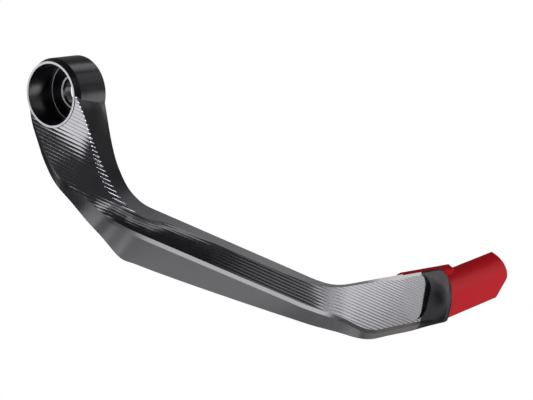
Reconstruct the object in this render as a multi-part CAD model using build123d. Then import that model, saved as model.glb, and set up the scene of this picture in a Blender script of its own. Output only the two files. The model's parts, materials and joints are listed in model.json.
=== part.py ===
"""Brake lever guard: a milled aluminium arm with a bar-end ring, and a red tip screwed on behind it.

The bore runs along X, which points inboard. Forward is -Y and up is Z. The origin lies on the bore,
in the inboard face of the ring.
"""
import os
from math import cos, hypot, radians, sin

from build123d import *

# Ring on the end of the handlebar
ring_diameter = 22.4
ring_width = 13.4
ring_front_chamfer = (2.0, 0.9)
ring_back_chamfer = 0.5
pocket_diameter = 19.2
pocket_depth = 10.1
bolt_diameter = 8.0
bolt_clearance = 0.5
bore_chamfer = 0.9

# Length by which a cut runs past the surface it opens
overshoot = 6.0

# Back line of the arm, seen from above: forward, bend, straight, bend, straight
fore_length = 32.0
first_bend_radius = 12.2
straight_angle = 30.6
straight_length = 67.4
second_bend_radius = 31.0
flank_angle = 2.3
flank_length = 54.0

# Cross-sections of the arm as (outward, upward) from the back line
front_step = 0.2
root_start = -9.0
root_rise = (-14.0, 5.0)
root_back = (0.4, 3.6)
root_shoulder = (ring_width - front_step, 3.6)
root_lip = (ring_width - front_step, -3.2)
root_foot = (ring_width - 2 * front_step, -3.6)
root_heel = (1.2, -3.4)
fore_shoulder = (ring_width - front_step, 9.0)
throat_foot = (ring_width - 2 * front_step, -12.5)
fore_lip = (ring_width - front_step, -11.8)
fore_foot = (ring_width - 2 * front_step, -14.4)
fore_back = (0.4, 10.0)
fore_heel = (1.2, -12.2)
arm_top = 0.9
waist_back = (0.0, arm_top)
waist_shoulder = (3.0, arm_top)
waist_lip = (7.7, -3.6)
waist_foot = (9.4, -10.9)
waist_heel = (1.6, -11.4)
elbow_foot = (9.8, -10.9)
corner_foot = (11.1, -14.1)
corner_reach = 6.5
flank_shoulder = (0.8, arm_top)
flank_lip = (14.6, -8.6)
flank_foot = (16.5, -12.0)
flank_heel = (7.5, -12.6)
collar_shoulder = (3.3, arm_top - 0.7)
collar_lip = (16.2, -7.4)
collar_foot = (16.4, -9.6)
collar_heel = (6.9, -11.5)
lip_bevel = 1.4
lip_bevel_share = 0.35
elbow_dish = 0.8
collar_bulge = 1.3
collar_length = 18.0
end_chamfer = 0.9
end_round = 7.0

# Milled panel on the flank
panel_length = 9.5
panel_slant = 4.0
panel_margin = 0.6
panel_corner = 5.0
panel_slope = 1.0

# Red tip and the tongue that carries it
tip_bend = 7.0
tip_length = 38.8
tip_top_length = 35.2
tip_crease = (5.9, -0.6)
tip_foot = (15.6, -9.2)
tip_heel = (5.0, -11.8)
tip_top = (0.4, -3.4)
tip_crease_radius = 7.0
tip_lower_corner = (6.6, 6.3)
tip_corner_radius = 2.0
tip_thickness_reach = 25.0
joint_gap = 0.15
tongue_length = 24.0
tongue_thickness = 3.0
tongue_top = 1.6
tongue_bottom = 13.6
tongue_corner = 3.0
tongue_root = 6.0
rebate_depth = 0.3

# Screws through the tongue
screw_diameter = 3.0
screw_head_diameter = 6.0
screw_grip = 2.4
screw_hole_spare = 0.3
screw_fit = 0.05
screw_positions = (7.0, 17.0)
screw_drop = 9.6
socket_across_flats = 2.0
socket_depth = 1.2


# Back line

first_turn = radians(90.0 - straight_angle)
second_turn = radians(straight_angle - flank_angle)
corner_at = fore_length + first_bend_radius * first_turn
waist_end = corner_at + straight_length
flank_start = waist_end + second_bend_radius * second_turn
arm_end = flank_start + flank_length

# Stretches of the back line over which one cross-section turns into the next

throat_span = (2.0, 17.0)
neck_span = (-4.0, fore_length - 2.0)
drop_span = (9.0, corner_at - 2.0)
twist_span = (14.0, corner_at + 9.0)
curl_span = (19.0, corner_at)
elbow_span = (20.0, corner_at - 2.5)
dish_span = (corner_at, corner_at + 40.0)
narrow_span = (waist_end - 14.0, flank_start)
widen_span = (waist_end + 4.0, flank_start + 17.0)
drift_start = flank_start + 3.0
drift_power = 1.5
foot_power = 1.4
run_out = 1000.0


def back_line(s):
    """Place on the back line, and its heading from X towards the front, in radians."""
    heading = radians(90.0)
    x, y = 0.0, 0.0
    legs = (
        (fore_length, None, 0.0),
        (corner_at - fore_length, first_bend_radius, first_turn),
        (straight_length, None, 0.0),
        (flank_start - waist_end, second_bend_radius, second_turn),
        (run_out, None, 0.0),
    )
    for length, radius, turn in legs:
        step = min(s, length)
        if radius is None:
            x += step * cos(heading)
            y -= step * sin(heading)
        else:
            swing = turn * step / length
            x += radius * (sin(heading) - sin(heading - swing))
            y -= radius * (cos(heading - swing) - cos(heading))
            heading -= swing
        s -= step
        if s <= 0:
            break
    return x, y, heading


def station(s):
    """Plane square to the back line: local x runs outward and local y upward."""
    x, y, heading = back_line(s)
    outward = Vector(-sin(heading), -cos(heading), 0)
    along = Vector(cos(heading), -sin(heading), 0)
    return Plane(origin=(x, y, 0), x_dir=outward, z_dir=-along)


# Cross-sections


def ease(s, start, end):
    u = min(max((s - start) / (end - start), 0.0), 1.0)
    return u * u * (3.0 - 2.0 * u)


def mix(a, b, k):
    return tuple(p + (q - p) * k for p, q in zip(a, b))


def along_line(a, b, length):
    """Point at a length from a towards b."""
    return mix(a, b, length / hypot(b[0] - a[0], b[1] - a[1]))


def section_points(s):
    """Corners of the arm at s, and how far its milled face bows inward."""
    rise = ease(s, *root_rise)
    neck = ease(s, *neck_span)
    twist = ease(s, *twist_span)
    drop = ease(s, *drop_span)
    curl = ease(s, *curl_span)
    widen = ease(s, *widen_span)
    narrow = ease(s, *narrow_span)
    drift = max((s - drift_start) / (arm_end - drift_start), 0.0) ** drift_power
    flare = ease(s, arm_end - collar_length, arm_end)

    back = mix(mix(root_back, fore_back, rise), waist_back, neck)
    brow = mix(root_shoulder, fore_shoulder, rise)
    shoulder = (mix(brow, waist_shoulder, twist)[0], mix(brow, waist_shoulder, drop)[1])
    lip = mix(mix(root_lip, fore_lip, rise), waist_lip, curl)
    heel = mix(mix(root_heel, fore_heel, rise), waist_heel, curl)
    if s < corner_at:
        foot = mix(mix(root_foot, throat_foot, rise), fore_foot, ease(s, *throat_span))
        foot = mix(foot, elbow_foot, ease(s, *elbow_span))
        foot = mix(foot, corner_foot, max(1.0 - (corner_at - s) / corner_reach, 0.0))
    else:
        foot = mix(corner_foot, waist_foot, min((s - corner_at) / straight_length, 1.0) ** foot_power)
    shoulder = mix(mix(shoulder, flank_shoulder, narrow), collar_shoulder, drift)
    lip = mix(mix(lip, flank_lip, widen), collar_lip, flare)
    foot = mix(mix(foot, flank_foot, widen), collar_foot, flare)
    heel = mix(mix(heel, flank_heel, widen), collar_heel, flare)
    dish = elbow_dish * curl * (1.0 - ease(s, *dish_span)) - collar_bulge * flare
    return back, shoulder, lip, foot, heel, dish


def lip_edge(shoulder, lip, foot):
    """Lower side of the bright bevel along the lip."""
    span = hypot(foot[0] - lip[0], foot[1] - lip[1])
    reach = min(lip_bevel, lip_bevel_share * span)
    down_face = along_line((0, 0), (lip[0] - shoulder[0], lip[1] - shoulder[1]), 0.5)
    down_facet = along_line((0, 0), (foot[0] - lip[0], foot[1] - lip[1]), 0.5)
    middle = (down_face[0] + down_facet[0], down_face[1] + down_facet[1])
    way = along_line((0, 0), middle, reach)
    return lip[0] + way[0], lip[1] + way[1]


def shrink(points, amount):
    """Corners moved towards their middle."""
    middle = tuple(sum(p[i] for p in points) / len(points) for i in (0, 1))
    return [along_line(p, middle, amount) for p in points]


def section(s, inset=0.0):
    back, shoulder, lip, foot, heel, dish = section_points(s)
    corners = [back, shoulder, lip, lip_edge(shoulder, lip, foot), foot, heel]
    if inset:
        corners = shrink(corners, inset)
    back, shoulder, lip, edge, foot, heel = corners
    run = (lip[0] - shoulder[0], lip[1] - shoulder[1])
    span = hypot(*run)
    half = mix(shoulder, lip, 0.5)
    bow = (half[0] + run[1] / span * dish, half[1] - run[0] / span * dish)
    with BuildSketch(station(s)) as sketch:
        with BuildLine():
            Line(heel, back)
            Line(back, shoulder)
            Spline(shoulder, bow, lip)
            Line(lip, edge)
            Line(edge, foot)
            Line(foot, heel)
        make_face()
    return sketch.sketch


# Arm

fore_stations = [root_start + (corner_at - root_start) * k / 12 for k in range(13)]
waist_stations = [corner_at + straight_length * k for k in (0.06, 0.13, 0.22, 0.34, 0.48, 0.62, 0.76, 0.88)]
flank_stations = [waist_end + (arm_end - waist_end) * k / 9 for k in range(10)]

arm_body = loft([section(s) for s in fore_stations + waist_stations + flank_stations])
end_cap = loft([section(arm_end), section(arm_end + end_chamfer, end_chamfer)], ruled=True)

ring_blank = extrude(Plane.YZ * Circle(ring_diameter / 2), amount=-ring_width)
ring_blank = chamfer(ring_blank.edges().sort_by(Axis.X)[-1], ring_back_chamfer)
ring_blank = chamfer(ring_blank.edges().sort_by(Axis.X)[0], *ring_front_chamfer)

arm = ring_blank + arm_body + end_cap

bore_radius = (bolt_diameter + bolt_clearance) / 2
front = Plane(origin=(-ring_width, 0, 0), z_dir=(1, 0, 0))
seat = front.offset(pocket_depth)
arm -= extrude(front.offset(-overshoot) * Circle(pocket_diameter / 2), amount=pocket_depth + overshoot)
arm -= extrude(seat * Circle(bore_radius), amount=ring_width)
arm -= seat * Pos(0, 0, bore_chamfer / 2) * Cone(bore_radius + bore_chamfer, bore_radius, bore_chamfer)

# Directions on the flank, where the back line is straight

flank_plane = station(arm_end)
outward = flank_plane.x_dir
upward = flank_plane.y_dir
along = -flank_plane.z_dir


def flank_vector(pair):
    return outward * pair[0] + upward * pair[1]


def flank_point(s, pair):
    x, y, _ = back_line(s)
    return Vector(x, y, 0) + flank_vector(pair)


# Back corner of the end, rounded as seen from above


def corner_space(radius):
    """Space outside the rounded corner."""
    reach = end_round + overshoot
    middle = flank_point(arm_end + end_chamfer - end_round, (end_round, 0.0))
    plan = Plane(origin=middle, x_dir=along, z_dir=upward)
    outside = Pos(reach / 2, reach / 2) * Rectangle(reach, reach) - Circle(radius)
    return extrude(plan * outside, amount=reach, both=True)


arm -= corner_space(end_round)

# Milled panel: its floor sinks slowly below the face, so its edge shows only at the collar

face_run = (flank_lip[0] - flank_shoulder[0], flank_lip[1] - flank_shoulder[1])
face_down = flank_vector(face_run).normalized()
face_normal = along.cross(-face_down)
slope = radians(panel_slope)
panel_plane = Plane(
    origin=flank_point(arm_end - collar_length, mix(flank_shoulder, flank_lip, 0.5)),
    x_dir=along * cos(slope) - face_normal * sin(slope),
    z_dir=face_normal * cos(slope) + along * sin(slope),
)
panel_half = hypot(*face_run) / 2 - panel_margin
panel = Polygon(
    (-overshoot, -panel_half),
    (panel_length - panel_slant, -panel_half),
    (panel_length, panel_half),
    (-overshoot, panel_half),
    align=None,
)
panel = fillet(panel.vertices().sort_by(Axis.X)[-2:], panel_corner)
arm -= extrude(panel_plane * panel, amount=overshoot)

# Rebate behind the end of the arm, where the tongue lies

back_run = (flank_heel[0], flank_heel[1] - arm_top)
back_down = flank_vector(back_run).normalized()
back_normal = along.cross(-back_down)
rebate_plane = Plane(
    origin=flank_point(arm_end, (0.0, arm_top)) + back_normal * rebate_depth,
    x_dir=along,
    z_dir=-back_normal,
)
rebate_size = (tongue_length + joint_gap + overshoot, hypot(*back_run) + 2 * overshoot)
rebate = Pos(overshoot - rebate_size[0] / 2, hypot(*back_run) / 2) * Rectangle(*rebate_size)
arm -= extrude(rebate_plane * rebate, amount=overshoot)

# Screws, with their heads sunk in the tongue

screw_radius = screw_diameter / 2
head_radius = screw_head_diameter / 2
head_height = head_radius - screw_radius
screw_places = [Pos(place - tongue_length, screw_drop) for place in screw_positions]
head_shape = Pos(0, 0, tongue_thickness - head_height / 2) * Cone(screw_radius, head_radius, head_height)
shank_length = screw_grip + tongue_thickness - head_height
shank = Pos(0, 0, shank_length / 2 - screw_grip) * Cylinder(screw_radius, shank_length)
socket = RegularPolygon(socket_across_flats / 2, 6, major_radius=False)
socket = extrude(Pos(0, 0, tongue_thickness - socket_depth) * socket, amount=socket_depth)
screw = head_shape + shank - socket
screws = [rebate_plane * place * screw for place in screw_places]

clear_radius = screw_radius + screw_fit
blind = screw_grip + screw_hole_spare
for place in screw_places:
    arm -= rebate_plane * place * Pos(0, 0, -blind / 2) * Cylinder(clear_radius, blind)

# Tip: a wedge that leaves the end of the arm at a small angle, and its tongue

tip_start = arm_end + end_chamfer + joint_gap
swing = radians(tip_bend)
tip_way = along * cos(swing) - outward * sin(swing)
with BuildSketch(station(tip_start)) as tip_section:
    with BuildLine():
        Polyline(tip_top, tip_crease, tip_foot, tip_heel, close=True)
    make_face()
    fillet(tip_section.vertices().sort_by_distance((*tip_crease, 0))[0], tip_crease_radius)
tip = extrude(tip_section.sketch, amount=tip_length + overshoot, dir=tip_way)

tip_run = (tip_foot[0] - tip_crease[0], tip_foot[1] - tip_crease[1])
tip_down = flank_vector(tip_run).normalized()
tip_plane = Plane(
    origin=flank_point(tip_start, tip_crease),
    x_dir=tip_way,
    z_dir=tip_way.cross(-tip_down),
)
tip_face = hypot(*tip_run)
tip_fall = (tip_crease[0] - tip_top[0]) * tip_run[0] + (tip_crease[1] - tip_top[1]) * tip_run[1]
tip_rise = tip_fall / tip_face
tip_outline = Polygon(
    (-overshoot, -tip_face),
    (tip_length - tip_lower_corner[0], -tip_face),
    (tip_length, tip_lower_corner[1] - tip_face),
    (tip_top_length, tip_rise),
    (-overshoot, tip_rise),
    align=None,
)
tip_outline = fillet(tip_outline.vertices().sort_by(Axis.X)[-1], tip_corner_radius)
tip &= extrude(tip_plane * tip_outline, amount=tip_thickness_reach, both=True)

corner_fill = extrude(tip_section.sketch, amount=end_round + joint_gap, dir=-along)
tip += corner_fill & corner_space(end_round + joint_gap)

tongue_size = (tongue_length + tongue_root, tongue_bottom - tongue_top)
tongue = Rectangle(*tongue_size)
tongue = fillet(tongue.vertices().sort_by(Axis.X)[:2], tongue_corner)
tongue = Pos(tongue_root - tongue_size[0] / 2, (tongue_top + tongue_bottom) / 2) * tongue
tip += extrude(rebate_plane * tongue, amount=tongue_thickness)
for place in screw_places:
    tip -= rebate_plane * place * head_shape
    tip -= rebate_plane * place * Pos(0, 0, tongue_thickness / 2) * Cylinder(clear_radius, tongue_thickness)

# One file for each piece

os.makedirs("parts", exist_ok=True)
export_step(arm, "parts/guard_arm.step")
export_step(tip, "parts/end_tip.step")
export_step(Compound(screws), "parts/tip_screws.step")
for name, piece in (("arm", arm), ("tip", tip)):
    print(name, round(piece.volume), "mm3 in", len(piece.solids()), "solid", piece.bounding_box())
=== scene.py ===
# %% [markdown]
# # A brake lever guard
# The guard is a black arm, milled from one bar of aluminium. Its ring is bolted to the end of a
# handlebar, and its red tip reaches inboard past the brake lever. The CAD model gives every true surface.
# This lesson adds what the cutter and the dye left on them: milled grooves, turned rings, a satin black
# skin and a red one. All of it is made in the frame of the CAD model, so that no piece has to be moved.

import json
from bisect import bisect_right
from math import inf, pi

import bmesh
import bpy
from mathutils import Matrix, Vector
from mathutils.bvhtree import BVHTree
from mathutils.interpolate import poly_3d_calc

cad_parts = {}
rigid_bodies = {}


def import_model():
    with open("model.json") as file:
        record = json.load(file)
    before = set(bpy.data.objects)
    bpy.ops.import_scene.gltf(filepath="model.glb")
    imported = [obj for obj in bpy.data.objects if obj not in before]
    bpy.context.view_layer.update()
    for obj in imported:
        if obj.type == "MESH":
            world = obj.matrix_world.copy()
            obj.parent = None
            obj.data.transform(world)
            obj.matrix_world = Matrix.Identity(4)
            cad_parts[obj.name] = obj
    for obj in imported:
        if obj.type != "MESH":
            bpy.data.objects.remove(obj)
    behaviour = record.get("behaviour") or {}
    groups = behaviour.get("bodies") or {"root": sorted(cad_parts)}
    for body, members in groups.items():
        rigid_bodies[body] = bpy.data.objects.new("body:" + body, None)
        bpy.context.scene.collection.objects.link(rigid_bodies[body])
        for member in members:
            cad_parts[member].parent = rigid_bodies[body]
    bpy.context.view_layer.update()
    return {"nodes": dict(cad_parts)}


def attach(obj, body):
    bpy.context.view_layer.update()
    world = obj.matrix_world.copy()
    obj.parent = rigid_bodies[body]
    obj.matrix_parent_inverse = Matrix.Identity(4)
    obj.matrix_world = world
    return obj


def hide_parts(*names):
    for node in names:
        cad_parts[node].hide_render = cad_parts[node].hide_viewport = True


for leftover in list(bpy.data.objects):
    bpy.data.objects.remove(leftover)
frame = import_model()
MM = 0.001
arm_node = frame["nodes"]["guard_arm"]
tip_node = frame["nodes"]["end_tip"]
screw_node = frame["nodes"]["tip_screws"]

# %% [markdown]
# The photographer stood outboard of the bar end and a little in front of it, and looked down at the guard
# with a long lens. The camera is rolled, so that the arm runs from top left to bottom right. A constraint
# could aim a camera, but a roll is easier to give by three directions: right, up and back.

# %% Camera
IMAGE_WIDTH = 533
FOCAL_PX = 2400.0
SENSOR_WIDTH = 36.0
CAMERA_PLACE = Vector((-536.2, -210.4, 482.5)) * MM
ROUGHLY_RIGHT = Vector((0.638, -0.4176, 0.647))
CAMERA_BACK = Vector((-0.7603, -0.2086, 0.6151)).normalized()
CAMERA_UP = CAMERA_BACK.cross(ROUGHLY_RIGHT).normalized()
CAMERA_RIGHT = CAMERA_UP.cross(CAMERA_BACK)

camera = bpy.data.objects.new("camera", bpy.data.cameras.new("camera"))
bpy.context.collection.objects.link(camera)
camera.data.sensor_width = SENSOR_WIDTH
camera.data.lens = SENSOR_WIDTH * FOCAL_PX / IMAGE_WIDTH
camera_turn = Matrix((CAMERA_RIGHT, CAMERA_UP, CAMERA_BACK)).transposed().to_4x4()
camera.matrix_world = Matrix.Translation(CAMERA_PLACE) @ camera_turn
bpy.context.scene.camera = camera
print("lens, mm:", round(camera.data.lens, 1))

# %% [markdown]
# Every finish below is a small tree of nodes, and so is every shape that follows a rule. Nodes can be drawn
# by hand in the editor. Here a helper adds a node, sets its plain values and joins its inputs, so that a
# tree reads as a list of what feeds what.

# %% Node helpers


def add(tree, kind, values=None, links=None, **settings):
    node = tree.nodes.new(kind)
    for name, value in settings.items():
        setattr(node, name, value)
    for socket, value in (values or {}).items():
        node.inputs[socket].default_value = value
    for socket, source in (links or {}).items():
        tree.links.new(source, node.inputs[socket])
    return node


def figure(tree, operation, *terms):
    """One step of arithmetic. Each term is a plain number or the output of another node."""
    node = add(tree, "ShaderNodeMath", operation=operation)
    for socket, term in zip(node.inputs, terms):
        if isinstance(term, (int, float)):
            socket.default_value = term
        else:
            tree.links.new(term, socket)
    return node.outputs[0]


def length(tree, vector):
    return add(tree, "ShaderNodeVectorMath", links={0: vector}, operation="LENGTH").outputs["Value"]


print("node helpers:", [helper.__name__ for helper in (add, figure, length)])

# %% [markdown]
# No real finish is quite even. A soft noise in the piece's own coordinates stands for the cloudiness of a
# dyed or blasted surface, and both the tone and the roughness follow it. A picture could do this too, but a
# noise has no seams and stays sharp from close by.

# %% Helpers for a finish


def new_material(name):
    material = bpy.data.materials.new(name)
    material.use_nodes = True
    tree = material.node_tree
    tree.nodes.clear()
    coords = add(tree, "ShaderNodeTexCoord").outputs["Object"]
    return material, tree, coords


def finish_material(tree, shader):
    add(tree, "ShaderNodeOutputMaterial", links={"Surface": shader.outputs[0]})


def noise(tree, coords, scale, detail):
    settings = {"Scale": scale, "Detail": detail}
    return add(tree, "ShaderNodeTexNoise", settings, {"Vector": coords}).outputs["Fac"]


def spread(tree, factor, low, high):
    node = add(tree, "ShaderNodeMapRange", {"To Min": low, "To Max": high}, {"Value": factor})
    return node.outputs["Result"]


def two_tones(tree, factor, first, second):
    node = add(tree, "ShaderNodeMix", data_type="RGBA")
    node.inputs[6].default_value, node.inputs[7].default_value = first, second
    tree.links.new(factor, node.inputs[0])
    return node.outputs[2]


print("finish helpers:", [helper.__name__ for helper in (new_material, noise, spread, two_tones)])

# %% [markdown]
# In the photograph the plain sides of the arm look duller near the ring, and the milled faces look duller in
# the bend and along the waist. The skin or the light may cause that. Here the gloss is fitted to it. Several
# materials with hard borders would show as bands, so one material reads the distance from the bore, and a
# ramp turns it into gloss.

# %% Gloss along the arm
GLOSS_SPAN = 200


def gloss_ramp(tree, coords, stops):
    """Each stop is a distance from the bore in millimetres, and the gloss there."""
    share = figure(tree, "DIVIDE", length(tree, coords), GLOSS_SPAN * MM)
    ramp = add(tree, "ShaderNodeValToRGB", links={"Fac": share})
    ramp.color_ramp.interpolation = "EASE"
    steps = ramp.color_ramp.elements
    steps.remove(steps[1])
    for number, (distance, gloss) in enumerate(stops):
        step = steps.new(distance / GLOSS_SPAN) if number else steps[0]
        step.position = distance / GLOSS_SPAN
        step.color = (gloss, gloss, gloss, 1)
    return ramp.outputs["Color"]


print("gloss is set up to", GLOSS_SPAN, "mm from the bore")

# %% [markdown]
# The pocket for the bolt's head is turned, and the tool leaves fine rings round the bore. Two edges of the
# pocket, the one round its floor and the one round the hole, get a painted highlight: a light grey base
# colour on the black. The rings are too fine to be modelled, so a sine of the distance from the bore's axis
# gives them as a bump.

# %% Rings and painted edge highlights of the turned pocket
DARK, LESS_DARK = (0.003, 0.003, 0.0036, 1), (0.007, 0.007, 0.008, 1)
PAINTED_EDGE_HIGHLIGHT = (0.5, 0.5, 0.52, 1)
RING_PITCH, RING_DEPTH = 0.5 * MM, 0.004 * MM
FLOOR_EDGE, FLOOR_EDGE_HALF = 9.2 * MM, 0.14 * MM
HOLE_EDGE, HOLE_EDGE_HALF = 5.05 * MM, 0.2 * MM


def turned_rings(tree, coords):
    """Height of the turned rings, and a tone with a painted highlight on two edges of the pocket."""
    apart = add(tree, "ShaderNodeSeparateXYZ", links={"Vector": coords}).outputs
    flat = add(tree, "ShaderNodeCombineXYZ", links={"Y": apart["Y"], "Z": apart["Z"]})
    reach = length(tree, flat.outputs[0])
    height = figure(tree, "SINE", figure(tree, "MULTIPLY", reach, 2 * pi / RING_PITCH))
    # Painted highlight: a light grey base colour along the floor's edge and along the hole's edge.
    floor_edge_highlight = figure(tree, "COMPARE", reach, FLOOR_EDGE, FLOOR_EDGE_HALF)
    hole_edge_highlight = figure(tree, "COMPARE", reach, HOLE_EDGE, HOLE_EDGE_HALF)
    edges = figure(tree, "MAXIMUM", floor_edge_highlight, hole_edge_highlight)
    return height, two_tones(tree, edges, DARK, PAINTED_EDGE_HIGHLIGHT)


print("rings in the pocket:", round((FLOOR_EDGE - HOLE_EDGE) / RING_PITCH))

# %% [markdown]
# Anodising leaves a hard, clear oxide skin with the dye inside it. It mirrors the room faintly, the more so
# at a glancing angle, and the grain of the metal shows through as a slight unevenness. A plain dark shader
# with a high index of refraction does this, because its reflection grows towards the glancing angle.

# %% Black anodised skins
OXIDE_IOR = 1.7
CLOUD_SCALE, CLOUD_DETAIL = 260.0, 4.0
SPECK_SCALE, SPECK_DETAIL, SPECK_DEPTH = 9000.0, 2.0, 0.0006 * MM
BUMP_STRENGTH = 0.5
UNEVEN = 0.04
EDGE_SAMPLES = 6


def black_skin(name, roughness, gloss, turned=False, edge=0.0):
    """Gloss is one number, or a list of stops for the gloss along the arm."""
    material, tree, coords = new_material(name)
    cloud = noise(tree, coords, CLOUD_SCALE, CLOUD_DETAIL)
    if turned:
        depth = RING_DEPTH
        height, tone = turned_rings(tree, coords)
    else:
        depth = SPECK_DEPTH
        height = noise(tree, coords, SPECK_SCALE, SPECK_DETAIL)
        tone = two_tones(tree, cloud, DARK, LESS_DARK)
    bump = add(tree, "ShaderNodeBump", {"Strength": BUMP_STRENGTH, "Distance": depth}, {"Height": height})
    if edge:
        rounded = add(tree, "ShaderNodeBevel", {"Radius": edge}, samples=EDGE_SAMPLES)
        tree.links.new(rounded.outputs[0], bump.inputs["Normal"])
    uneven = spread(tree, cloud, roughness - UNEVEN, roughness + UNEVEN)
    links = {"Base Color": tone, "Roughness": uneven, "Normal": bump.outputs[0]}
    shader = add(tree, "ShaderNodeBsdfPrincipled", {"IOR": OXIDE_IOR}, links)
    level = shader.inputs["Specular IOR Level"]
    if isinstance(gloss, list):
        tree.links.new(gloss_ramp(tree, coords, gloss), level)
    else:
        level.default_value = gloss
    finish_material(tree, shader)
    return material


skin_black = black_skin("black_anodised_skin", 0.21, [(30, 0.12), (60, 0.5)])
milled_gloss = [(38, 0.5), (46, 0.18), (92, 0.18), (112, 0.5)]
milled_black = black_skin("black_anodised_milled", 0.15, milled_gloss)
# The turned finish also paints a highlight on two edges of the pocket.
turned_black_painted_edges = black_skin("black_anodised_turned_painted_edges", 0.25, 0.2, turned=True)
collar_black = black_skin("black_anodised_collar", 0.24, 0.04, edge=0.6 * MM)
finishes = (skin_black, milled_black, turned_black_painted_edges, collar_black)
print("black skins:", [finish.name for finish in finishes])

# %% [markdown]
# The tip is dyed red and blasted to a satin, so it shines softly and shows its colour from every side. Its
# edges are slightly broken. A bevel in the mesh would change the CAD shape, so the Bevel node rounds only
# the shading along them.

# %% Red tip
RED, LESS_RED = (0.25, 0.0025, 0.005, 1), (0.285, 0.0035, 0.007, 1)
BROKEN_EDGE = 0.35 * MM
red_satin, tree, coords = new_material("red_satin_tip")
cloud = noise(tree, coords, 400.0, 5.0)
rounded = add(tree, "ShaderNodeBevel", {"Radius": BROKEN_EDGE}, samples=EDGE_SAMPLES)
shader = add(
    tree,
    "ShaderNodeBsdfPrincipled",
    {"IOR": 1.5, "Specular IOR Level": 0.03},
    {
        "Base Color": two_tones(tree, cloud, RED, LESS_RED),
        "Roughness": spread(tree, cloud, 0.36, 0.44),
        "Normal": rounded.outputs[0],
    },
)
finish_material(tree, shader)
tip_node.material_slots[0].material = red_satin
print("tip:", red_satin.name)

# %% [markdown]
# Two finishes are bright metal: the steel of the screws behind the tip, and the beads at the end of each
# groove. The beads' bright metal paints the highlight that the rounded groove ends catch. Both are a metallic
# shader with a cloudy tone, so one function makes them.

# %% Steel, and metal for painted groove-end highlights


def bare_metal(name, scale, tones, roughness):
    material, tree, coords = new_material(name)
    cloud = noise(tree, coords, scale, 3.0)
    links = {"Base Color": two_tones(tree, cloud, *tones), "Roughness": spread(tree, cloud, *roughness)}
    finish_material(tree, add(tree, "ShaderNodeBsdfPrincipled", {"Metallic": 1.0}, links))
    return material


STEEL_TONES = (0.36, 0.36, 0.37, 1), (0.46, 0.46, 0.46, 1)
GROOVE_END_GLINT_TONES = (0.4, 0.4, 0.43, 1), (0.55, 0.55, 0.58, 1)
steel = bare_metal("plain_steel", 900.0, STEEL_TONES, (0.25, 0.4))
# Painted highlight: the groove ends get bright metal for the light that they catch.
groove_end_glint = bare_metal("painted_glint_groove_ends", 700.0, GROOVE_END_GLINT_TONES, (0.2, 0.3))
screw_node.material_slots[0].material = steel
print("screws:", steel.name, "groove ends:", groove_end_glint.name)

# %% [markdown]
# A machinist thinks in surfaces: the front face and the panel were cut with a ball-nosed cutter, the pocket
# was turned, and the rest was left smooth. The CAD arm arrives as one patch of triangles for each of its
# surfaces. No edge joins two patches yet, so a walk from face to face stays on one surface and numbers it.

# %% Tell the surfaces apart
source = arm_node.data
work = bmesh.new()
work.from_mesh(source)
work.faces.ensure_lookup_table()
patch = work.faces.layers.int.new("patch")


def gather(first, number):
    """All the faces that hang together with a first one, marked with their number."""
    first[patch] = number
    group, waiting = [], [first]
    while waiting:
        face = waiting.pop()
        group.append(face)
        for neighbour in [other for edge in face.edges for other in edge.link_faces]:
            if not neighbour[patch]:
                neighbour[patch] = number
                waiting.append(neighbour)
    return group


patches = []
for face in work.faces:
    if not face[patch]:
        patches.append(gather(face, len(patches) + 1))
print("surfaces:", len(patches))

# %% [markdown]
# Five surfaces matter below: the front face, the upper side, the raised panel, the rim of the ring and the
# collar that follows the panel. Picking them by hand would break with every change to the CAD model, so
# they are told by their size, by where they face and by where they lie.

# %% Name the surfaces
UP = Vector((0, 0, 1))
FRONT_AREA, SIDE_AREA = 1000, 500
PANEL_AREAS, RIM_AREAS = (150, 250), (30, 60)
COLLAR_BAND = 4 * MM


def area(group):
    """Area of a patch in square millimetres."""
    return sum(face.calc_area() for face in group) / MM**2


def facing(group, way):
    """How squarely a patch faces a direction, from -1 to 1."""
    return sum(face.normal.dot(way) * face.calc_area() for face in group) / MM**2 / area(group)


def sized(low, high=inf):
    return [group for group in patches if low < area(group) < high]


front_patch = max(sized(FRONT_AREA), key=lambda group: facing(group, CAMERA_BACK))
side_patch = max(sized(SIDE_AREA), key=lambda group: facing(group, UP))
panel_patch = max(sized(*PANEL_AREAS), key=lambda group: min(face.verts[0].co.x for face in group))
rim_patch = min(sized(*RIM_AREAS), key=lambda group: group[0].calc_center_median().x)
named_patches = (front_patch, side_patch, panel_patch, rim_patch)
front_number, side_number, panel_number, rim_number = (group[0][patch] for group in named_patches)
collar_start = max(vert.co.x for face in panel_patch for vert in face.verts) - COLLAR_BAND
print("front, side, panel and rim, mm2:", [round(area(group)) for group in named_patches])

# %% [markdown]
# The mesh below is cut much finer, and each new corner needs a normal. Normals worked out from thin triangles
# would look crumpled. The CAD corners carry the true normals of their surface, so these are kept: for any
# point of a patch, the nearest triangle is looked up and the normals of its corners are blended.

# %% Keep the true normals
corner_normals = [Vector(corner.vector) for corner in source.corner_normals]
spots = [vert.co.copy() for vert in source.vertices]
faces_of, tree_of = {}, {}
for number, group in enumerate(patches, start=1):
    faces_of[number] = [face.index for face in group]
    outlines = [tuple(source.polygons[index].vertices) for index in faces_of[number]]
    tree_of[number] = BVHTree.FromPolygons(spots, outlines)


def true_normal(number, place):
    """The normal of the CAD surface where a patch comes nearest to a place."""
    spot, _, index, _ = tree_of[number].find_nearest(place)
    polygon = source.polygons[faces_of[number][index]]
    weights = poly_3d_calc([spots[vert] for vert in polygon.vertices], spot)
    total = Vector()
    for corner, weight in zip(polygon.loop_indices, weights):
        total += corner_normals[corner] * weight
    return total.normalized()


print("corners with a true normal:", len(corner_normals))

# %% [markdown]
# Each pass of the cutter runs in a plane, and all these planes are parallel. Seen from the camera the
# grooves slant down to the right. They stand widest in the bend, and closer together towards the ring and
# towards the tip. A list of offsets along one direction is all that such a pattern needs.

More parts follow.
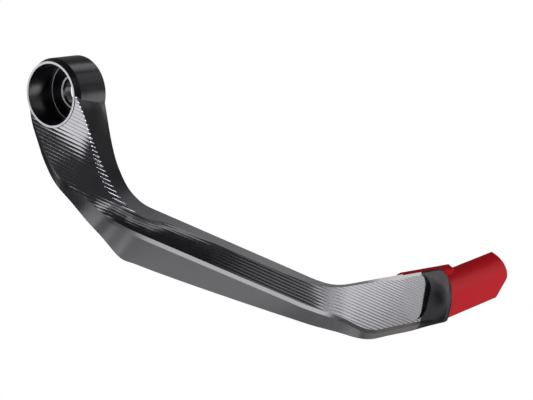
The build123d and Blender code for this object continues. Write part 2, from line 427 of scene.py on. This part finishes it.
# %% Plan the passes
PASS_NORMAL = Vector((0.376, 0.615, 0.694)).normalized()
CORNER_X = 7.0 * MM
FIRST_PASS, LAST_FORE_PASS, LAST_REST_PASS = -47 * MM, 14 * MM, -5 * MM
BEND_PITCH, RING_END_PITCH, TIP_END_PITCH = 1.15 * MM, 0.95 * MM, 0.75 * MM


def blend(first, second, share):
    return first + (second - first) * share


def pass_lines(last, last_pitch):
    """Offsets of the ridges from the first pass to the last, with the pitch narrowing evenly."""
    lines = [FIRST_PASS]
    while lines[-1] < last:
        share = (lines[-1] - FIRST_PASS) / (last - FIRST_PASS)
        lines.append(lines[-1] + blend(BEND_PITCH, last_pitch, share))
    return lines


FORE_LINES = pass_lines(LAST_FORE_PASS, RING_END_PITCH)
REST_LINES = pass_lines(LAST_REST_PASS, TIP_END_PITCH)


def is_milled(face):
    if face[patch] == front_number:
        return face.calc_center_median().x < collar_start
    return face[patch] == panel_number


def lines_at(face):
    return FORE_LINES if face.calc_center_median().x < CORNER_X else REST_LINES


print("passes:", len(FORE_LINES), "on the fore part,", len(REST_LINES), "on the rest")

# %% [markdown]
# A displacement map would need an even, very fine mesh to show a groove. Instead the milled surfaces are
# sliced along the ridges, and three more times between every two ridges, so that each cut is where a groove
# needs it. A slice keeps its depth as a number on its points: none on a ridge, and full in the middle of the
# groove. The grooves of the fore part are the deepest, and count as 1.

# %% Slice the milled surfaces
SLICES = 4
FORE_DEPTH, REST_DEPTH = 0.05 * MM, 0.02 * MM
SAME_POINT, ON_PLANE = 0.002 * MM, 1e-7
bmesh.ops.remove_doubles(work, verts=work.verts, dist=SAME_POINT)
valley = work.verts.layers.float.new("valley")


def crossed(lines, offset):
    """The faces of these passes that a plane goes through, with their edges and points."""
    parts = {}
    for face in work.faces:
        if not is_milled(face) or lines_at(face) is not lines:
            continue
        sides = [vert.co.dot(PASS_NORMAL) - offset for vert in face.verts]
        if min(sides) < 0 < max(sides):
            parts.update(dict.fromkeys((face, *face.edges, *face.verts)))
    return list(parts)


def slice_along(lines, depth):
    for low, high in zip(lines, lines[1:]):
        for step in range(SLICES):
            share = step / SLICES
            offset = blend(low, high, share)
            plane = {"plane_co": PASS_NORMAL * offset, "plane_no": PASS_NORMAL, "dist": ON_PLANE}
            cut = bmesh.ops.bisect_plane(work, geom=crossed(lines, offset), **plane)
            for item in cut["geom_cut"]:
                if isinstance(item, bmesh.types.BMVert):
                    item[valley] = 4 * share * (1 - share) * depth / FORE_DEPTH


slice_along(FORE_LINES, FORE_DEPTH)
slice_along(REST_LINES, REST_DEPTH)
print("faces after slicing:", len(work.faces))

# %% [markdown]
# Each face now gets its finish. The rim of the ring has the gloss of the milled surfaces, though it has no
# grooves. The pocket is told by its distance from the bore's axis, and the collar by how far along it lies.

# %% Give each face its finish
SKIN, MILLED, TURNED, COLLAR = range(len(finishes))
POCKET_REACH, POCKET_END_X = 9.7 * MM, -1.0 * MM


def finish_of(face):
    middle = face.calc_center_median()
    if is_milled(face) or face[patch] == rim_number:
        return MILLED
    if middle.yz.length < POCKET_REACH and middle.x < POCKET_END_X:
        return TURNED
    return COLLAR if middle.x > collar_start else SKIN


for face in work.faces:
    face.smooth = True
    face.material_index = finish_of(face)
for index, finish in enumerate(finishes):
    print(finish.name, sum(face.material_index == index for face in work.faces), "faces")

# %% [markdown]
# In the photograph the light fades across the fore face, from the upper edge to the lower one, as it would on
# a slightly domed face. The CAD face is flat there and is kept so. Only the normals lean, up along the upper
# edge and down below it, by an amount that was fitted to that fading.

# %% Lean of the fore face
EDGE_LEAN, LEAN_PER_MM = 0.07, 0.036
UPPER_EDGE_Z = 5.5
FADE_SLOPE, FADE_Y = 0.6, -12
LOWEST_AT_RING, LOWEST_AT_BEND = -5.7, -9.0
BAND_AT_RING, BAND_AT_BEND = 1.5, 6.0


def fade(value, start, end):
    """None before the start, 1 past the end, and a soft S between them."""
    share = min(max((value - start) / (end - start), 0), 1)
    return share * share * (3 - 2 * share)


def crown(place):
    """Lean towards +Z at a place on the fore face. All lengths in here are millimetres."""
    y, z = place.y / MM, place.z / MM
    lowest = blend(LOWEST_AT_RING, LOWEST_AT_BEND, fade(y, -16, -24))
    below = min(max(z + FADE_SLOPE * (y - FADE_Y), lowest), 0)
    lean = EDGE_LEAN + LEAN_PER_MM * below
    band = blend(BAND_AT_RING, BAND_AT_BEND, fade(y, -20, -36))
    at_edge = fade(z, UPPER_EDGE_Z - band, UPPER_EDGE_Z)
    lean = blend(lean, EDGE_LEAN * fade(y, -30, -20), at_edge)
    return lean * fade(y, -42, -34)


for y in (-10, -20, -30):
    print("lean at y", y, [round(crown(Vector((0, y, z)) * MM), 3) for z in (-5, 0, 5)])

# %% [markdown]
# A groove is a shallow parabola across, so its normal leans from the true normal towards one ridge and then
# towards the other. Setting these normals directly keeps every groove clean, however thin its triangles are.

# %% Shade the grooves
known, normals = {}, []


def smooth_normal(vert, number):
    key = (vert.index, number)
    if key not in known:
        known[key] = true_normal(number, vert.co)
    return known[key]


def grooved_normal(face, place, normal):
    lines = lines_at(face)
    groove = bisect_right(lines, face.calc_center_median().dot(PASS_NORMAL)) - 1
    low, pitch = lines[groove], lines[groove + 1] - lines[groove]
    depth = FORE_DEPTH if lines is FORE_LINES else REST_DEPTH
    share = min(max((place.dot(PASS_NORMAL) - low) / pitch, 0.0), 1.0)
    across = PASS_NORMAL - normal * PASS_NORMAL.dot(normal)
    lean = across * (4 * depth / pitch * (1 - 2 * share))
    if lines is FORE_LINES and face[patch] == front_number:
        lean += UP * crown(place)
    return (normal + lean).normalized()


work.verts.index_update()
for face in work.faces:
    for vert in face.verts:
        normal = smooth_normal(vert, face[patch])
        normals.append(grooved_normal(face, vert.co, normal) if is_milled(face) else normal)
print("corners shaded:", len(normals))

# %% [markdown]
# Where a groove runs out at the upper edge of the fore part, its rounded end catches a small highlight, which
# a bead of bright metal paints here. The highlights are short near the ring and grow longer towards the bend.
# The slices already have a point there: it lies in the middle of a groove, and both the front face and the
# upper side touch it.

# %% Find where the grooves end
LAST_END_X = 3 * MM
FULL_VALLEY = 0.99
SHORT_END, LONG_END = 0.6 * MM, 2.4 * MM
SHORT_Y, LONG_Y = -14, -40
DRAWN_IN = 0.75
end_places, end_runs, end_leans, end_sizes = [], [], [], []
for vert in work.verts:
    touching = {face[patch] for face in vert.link_faces}
    at_upper_edge = {front_number, side_number} <= touching and vert.co.x <= LAST_END_X
    if vert[valley] < FULL_VALLEY or not at_upper_edge:
        continue
    lean = true_normal(front_number, vert.co)
    run = PASS_NORMAL.cross(lean).normalized()
    run = -run if run.z > 0 else run
    reach = blend(SHORT_END, LONG_END, fade(vert.co.y / MM, SHORT_Y, LONG_Y))
    end_places.append(vert.co + run * DRAWN_IN * (reach - SHORT_END))
    end_runs.append(run)
    end_leans.append(lean)
    end_sizes.append(reach)
print("groove ends:", len(end_places), "half lengths, mm:", [round(size / MM, 1) for size in end_sizes])

# %% [markdown]
# The sliced arm becomes a mesh of its own, with its four finishes. It stands in for the CAD arm, which has
# the same surfaces without the grooves.

# %% Make the arm's mesh
mesh = bpy.data.meshes.new("milled_arm")
work.to_mesh(mesh)
work.free()
for finish in finishes:
    mesh.materials.append(finish)
arm = bpy.data.objects.new("milled_arm", mesh)
bpy.context.collection.objects.link(arm)
print("arm points:", len(mesh.vertices), "corners:", len(mesh.loops))

# %% [markdown]
# Geometry nodes make the two things that follow a rule here: the grooves, and the row of groove ends. Both
# trees start with a mesh and named sizes, and read values that the points carry. The result is kept as a
# plain mesh, because a live modifier would be run again by every tool that opens the file.

# %% Helpers for geometry nodes


def shape_tree(name, *sizes):
    """A tree with a mesh and these sizes as its inputs, and the outputs that give them."""
    tree = bpy.data.node_groups.new(name, "GeometryNodeTree")
    tree.is_modifier = True
    tree.interface.new_socket("Geometry", in_out="INPUT", socket_type="NodeSocketGeometry")
    for size in sizes:
        tree.interface.new_socket(size, in_out="INPUT", socket_type="NodeSocketFloat")
    tree.interface.new_socket("Geometry", in_out="OUTPUT", socket_type="NodeSocketGeometry")
    return tree, add(tree, "NodeGroupInput").outputs


def carried(tree, name, kind):
    """A value that every point of the mesh carries."""
    node = add(tree, "GeometryNodeInputNamedAttribute", {"Name": name}, data_type=kind)
    return node.outputs["Attribute"]


def apply_tree(piece, tree, sizes):
    """Run a tree on a piece with these sizes, and keep the result as its plain mesh."""
    modifier = piece.modifiers.new(tree.name, "NODES")
    modifier.node_group = tree
    for socket in tree.interface.items_tree:
        if socket.name in sizes:
            modifier[socket.identifier] = sizes[socket.name]
    bpy.context.view_layer.update()
    evaluated = piece.evaluated_get(bpy.context.evaluated_depsgraph_get())
    result = bpy.data.meshes.new_from_object(evaluated)
    piece.modifiers.clear()
    piece.data = result
    return result


print("shape helpers:", [helper.__name__ for helper in (shape_tree, carried, apply_tree)])

# %% [markdown]
# The grooves could stay a matter of shading, but here they are pressed in for real, so that the mesh has
# them too. The tree moves every point inward by its share of the groove's depth, and the normals from above
# are set on the finished mesh.

# %% Press the grooves in
tree, inputs = shape_tree("grooves", "Depth")
sunk = figure(tree, "MULTIPLY", carried(tree, "valley", "FLOAT"), inputs["Depth"])
inward = figure(tree, "MULTIPLY", sunk, -1.0)
outside = add(tree, "GeometryNodeInputNormal").outputs["Normal"]
shift = add(tree, "ShaderNodeVectorMath", links={0: outside, "Scale": inward}, operation="SCALE")
moved = add(
    tree,
    "GeometryNodeSetPosition",
    links={"Geometry": inputs["Geometry"], "Offset": shift.outputs[0]},
)
add(tree, "NodeGroupOutput", links={"Geometry": moved.outputs["Geometry"]})

pressed = apply_tree(arm, tree, {"Depth": FORE_DEPTH})
pressed.normals_split_custom_set(normals)
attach(arm, "root")
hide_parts("guard_arm")
print("arm faces:", len(pressed.polygons))

# %% [markdown]
# In a row, the groove-end highlights look like a twisted cord. Each is painted by a flat bead of bright
# metal, laid along its groove. One point marks each place and carries the bead's direction, the way up and
# half its length, so that a tree can lay the same ball everywhere.

# %% Mark the groove ends
ends = bpy.data.meshes.new("groove_ends")
ends.from_pydata(end_places, [], [])
for name, vectors in (("run", end_runs), ("lean", end_leans)):
    attribute = ends.attributes.new(name, "FLOAT_VECTOR", "POINT")
    attribute.data.foreach_set("vector", [number for vector in vectors for number in vector])
ends.attributes.new("reach", "FLOAT", "POINT").data.foreach_set("value", end_sizes)
beads = bpy.data.objects.new("groove_ends", ends)
bpy.context.collection.objects.link(beads)
print("marked points:", len(ends.vertices))

# %% [markdown]
# The tree stands a ball upright on the surface, turns it along the groove and stretches it. The balls are
# made real at the end and get the bright metal that paints the highlight, because instances would be lost in
# an export.

# %% Lay the beads
BEAD_HALF_WIDTH, BEAD_HALF_HEIGHT = 0.26 * MM, 0.14 * MM
BALL_SEGMENTS, BALL_RINGS = 16, 10
tree, inputs = shape_tree("beads", "Width", "Height")
upright = add(
    tree,
    "FunctionNodeAlignRotationToVector",
    links={"Vector": carried(tree, "lean", "FLOAT_VECTOR")},
    axis="Z",
)
laid = add(
    tree,
    "FunctionNodeAlignRotationToVector",
    links={"Rotation": upright.outputs[0], "Vector": carried(tree, "run", "FLOAT_VECTOR")},
    axis="X",
    pivot_axis="Z",
)
reach = carried(tree, "reach", "FLOAT")
size = add(tree, "ShaderNodeCombineXYZ", links={"X": reach, "Y": inputs["Width"], "Z": inputs["Height"]})
ball_sizes = {"Segments": BALL_SEGMENTS, "Rings": BALL_RINGS, "Radius": 1.0}
ball = add(tree, "GeometryNodeMeshUVSphere", ball_sizes)
placed = add(
    tree,
    "GeometryNodeInstanceOnPoints",
    links={
        "Points": inputs["Geometry"],
        "Instance": ball.outputs["Mesh"],
        "Rotation": laid.outputs[0],
        "Scale": size.outputs[0],
    },
)
real = add(tree, "GeometryNodeRealizeInstances", links={"Geometry": placed.outputs["Instances"]})
coat = add(tree, "GeometryNodeSetMaterial", {"Material": groove_end_glint}, {"Geometry": real.outputs["Geometry"]})
add(tree, "NodeGroupOutput", links={"Geometry": coat.outputs["Geometry"]})

beads_mesh = apply_tree(beads, tree, {"Width": BEAD_HALF_WIDTH, "Height": BEAD_HALF_HEIGHT})
beads_mesh.shade_smooth()
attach(beads, "root")
print("bead faces:", len(beads_mesh.polygons))

# %% [markdown]
# The guard was photographed on plain white. Black gloss would mirror a white room as grey, so the white is
# for camera rays alone, on the floor well below the guard as in the room behind it. The guard's own light
# doesn't meet the floor: a mirrored floor would lighten the underside.

# %% Floor
FLOOR_LEVEL, FLOOR_HALF = -0.45, 4
WHITE, PALE = (1, 1, 1, 1), (0.8, 0.8, 0.8, 1)


def white_to_camera(tree, other, white):
    seen = add(tree, "ShaderNodeLightPath").outputs["Is Camera Ray"]
    return add(tree, "ShaderNodeMixShader", links={0: seen, 1: other.outputs[0], 2: white.outputs[0]})


floor_mesh = bpy.data.meshes.new("floor")
floor_corners = [(FLOOR_HALF * x, FLOOR_HALF * y, 0) for x, y in ((-1, -1), (1, -1), (1, 1), (-1, 1))]
floor_mesh.from_pydata(floor_corners, [], [(0, 1, 2, 3)])
floor = bpy.data.objects.new("floor", floor_mesh)
floor.location.z = FLOOR_LEVEL
bpy.context.collection.objects.link(floor)
pale_floor, tree, _ = new_material("pale_floor")
pale = add(tree, "ShaderNodeBsdfDiffuse", {"Color": PALE})
white = add(tree, "ShaderNodeEmission", {"Color": WHITE, "Strength": 1.0})
finish_material(tree, white_to_camera(tree, pale, white))
floor_mesh.materials.append(pale_floor)
floor.visible_glossy = floor.visible_diffuse = floor.visible_shadow = False
print("floor, mm below the origin:", round(-FLOOR_LEVEL / MM))

# %% [markdown]
# A dim room is the world's own light for all other rays. It fills the shadows a little, and the soft boxes
# below do the rest.

# %% Room
ROOM_COLOUR, ROOM_STRENGTH = (0.95, 0.97, 1, 1), 0.2
world = bpy.data.worlds.new("studio")
bpy.context.scene.world = world
world.use_nodes = True
tree = world.node_tree
tree.nodes.clear()
room = add(tree, "ShaderNodeBackground", {"Color": ROOM_COLOUR, "Strength": ROOM_STRENGTH})
sheet = add(tree, "ShaderNodeBackground", {"Color": WHITE, "Strength": 1.0})
both = white_to_camera(tree, room, sheet)
add(tree, "ShaderNodeOutputWorld", links={"Surface": both.outputs[0]})
bpy.context.scene.view_settings.view_transform = "Standard"
print("room strength:", ROOM_STRENGTH)

# %% [markdown]
# Black gloss shows only what it mirrors. A few large lamps would leave most faces of the arm black, so each
# surface gets a soft box in the direction that it mirrors towards the camera. First come the boxes for the
# ring and the fore part, which mirror the space outboard of the bar end, and one behind the ring.

# %% Soft boxes for the ring and the fore part
RING = Vector((-13, 0, 0)) * MM
WAIST = Vector((40, -52, -5)) * MM
FLANK = Vector((105, -88, -4)) * MM
COOL, WARM, WARMEST = (0.955, 0.945, 1), (1, 0.95, 0.94), (1, 0.92, 0.87)


def softbox(name, way, far, size, aim, radiance, colour=COOL):
    """A soft box that lies in a direction from the aim, so many metres far, and faces it."""
    light = bpy.data.lights.new(name, "AREA")
    light.shape = "RECTANGLE"
    light.size, light.size_y = size
    light.energy = radiance * pi * size[0] * size[1]
    light.color = colour
    box = bpy.data.objects.new(name, light)
    way = Vector(way).normalized()
    turn = way.to_track_quat("Z", "Y").to_matrix().to_4x4()
    box.matrix_world = Matrix.Translation(aim + way * far) @ turn
    box.visible_camera = False
    bpy.context.collection.objects.link(box)


softbox("left_box", (-0.83, 0.23, -0.50), 0.4, (0.2, 0.2), RING, 8.0)
softbox("fore_box", (-0.86, -0.41, -0.29), 0.5, (0.2, 0.2), RING, 5.0)
softbox("camera_box", (-0.70, -0.30, 0.64), 0.5, (0.2, 0.2), RING, 4.5)
softbox("ring_box", (0.72, 0.58, 0.38), 0.4, (0.2, 0.12), RING, 2.5)
print("soft boxes:", len(bpy.data.lights))

# %% [markdown]
# The waist looks forward, so most of its boxes stand in front of the guard: two at the corner of the bend,
# a bright strip for the lip, and two wide ones for the facet below it. Two more stand inboard and above.

# %% Soft boxes for the bend and the waist
softbox("elbow_box", (-0.71, -0.61, -0.36), 0.45, (0.2, 0.2), WAIST, 1.6)
softbox("corner_box", (-0.5, -0.84, -0.2), 0.5, (0.25, 0.25), WAIST, 1.8)
softbox("front_strip", (0.0, -0.98, 0.2), 0.5, (0.5, 0.14), WAIST, 6.5)
softbox("front_box", (0.08, -0.98, -0.2), 0.5, (0.5, 0.2), WAIST, 1.3)
softbox("front_low_box", (0.1, -0.9, -0.43), 0.5, (0.5, 0.15), WAIST, 0.5)
softbox("straight_box", (0.7, 0.3, 0.65), 0.5, (0.2, 0.2), WAIST, 1.4)
softbox("edge_left_box", (0.75, 0.0, 0.66), 0.4, (0.12, 0.12), WAIST, 1.0)
print("soft boxes:", len(bpy.data.lights))

# %% [markdown]
# The flank and the tip mirror what is inboard, in front and above. Most of their boxes are small and close,
# so that the light can change along the flank. The low one is the warmest, for the brownish end of the
# lower facet.

# %% Soft boxes for the flank and the tip
softbox("edge_box", (0.8, -0.1, 0.59), 0.3, (0.12, 0.12), FLANK, 6.0, WARM)
softbox("front_right_box", (0.46, -0.72, 0.52), 0.5, (0.15, 0.15), FLANK, 3.8)
softbox("flank_left_box", (0.3, -0.83, 0.47), 0.5, (0.2, 0.1), WAIST, 4.0)
softbox("right_box", (0.735, -0.527, 0.43), 0.35, (0.16, 0.16), FLANK, 1.0)
softbox("right_high_box", (0.70, -0.42, 0.58), 0.35, (0.15, 0.15), FLANK, 4.0)
softbox("right_far_box", (0.88, -0.40, 0.26), 0.35, (0.16, 0.16), FLANK, 1.8)
softbox("low_right_box", (0.72, -0.68, -0.12), 0.4, (0.2, 0.2), FLANK, 0.75, WARMEST)
softbox("top_box", (-0.15, 0.2, 0.97), 0.5, (0.25, 0.25), FLANK, 0.5)
print("soft boxes:", len(bpy.data.lights))
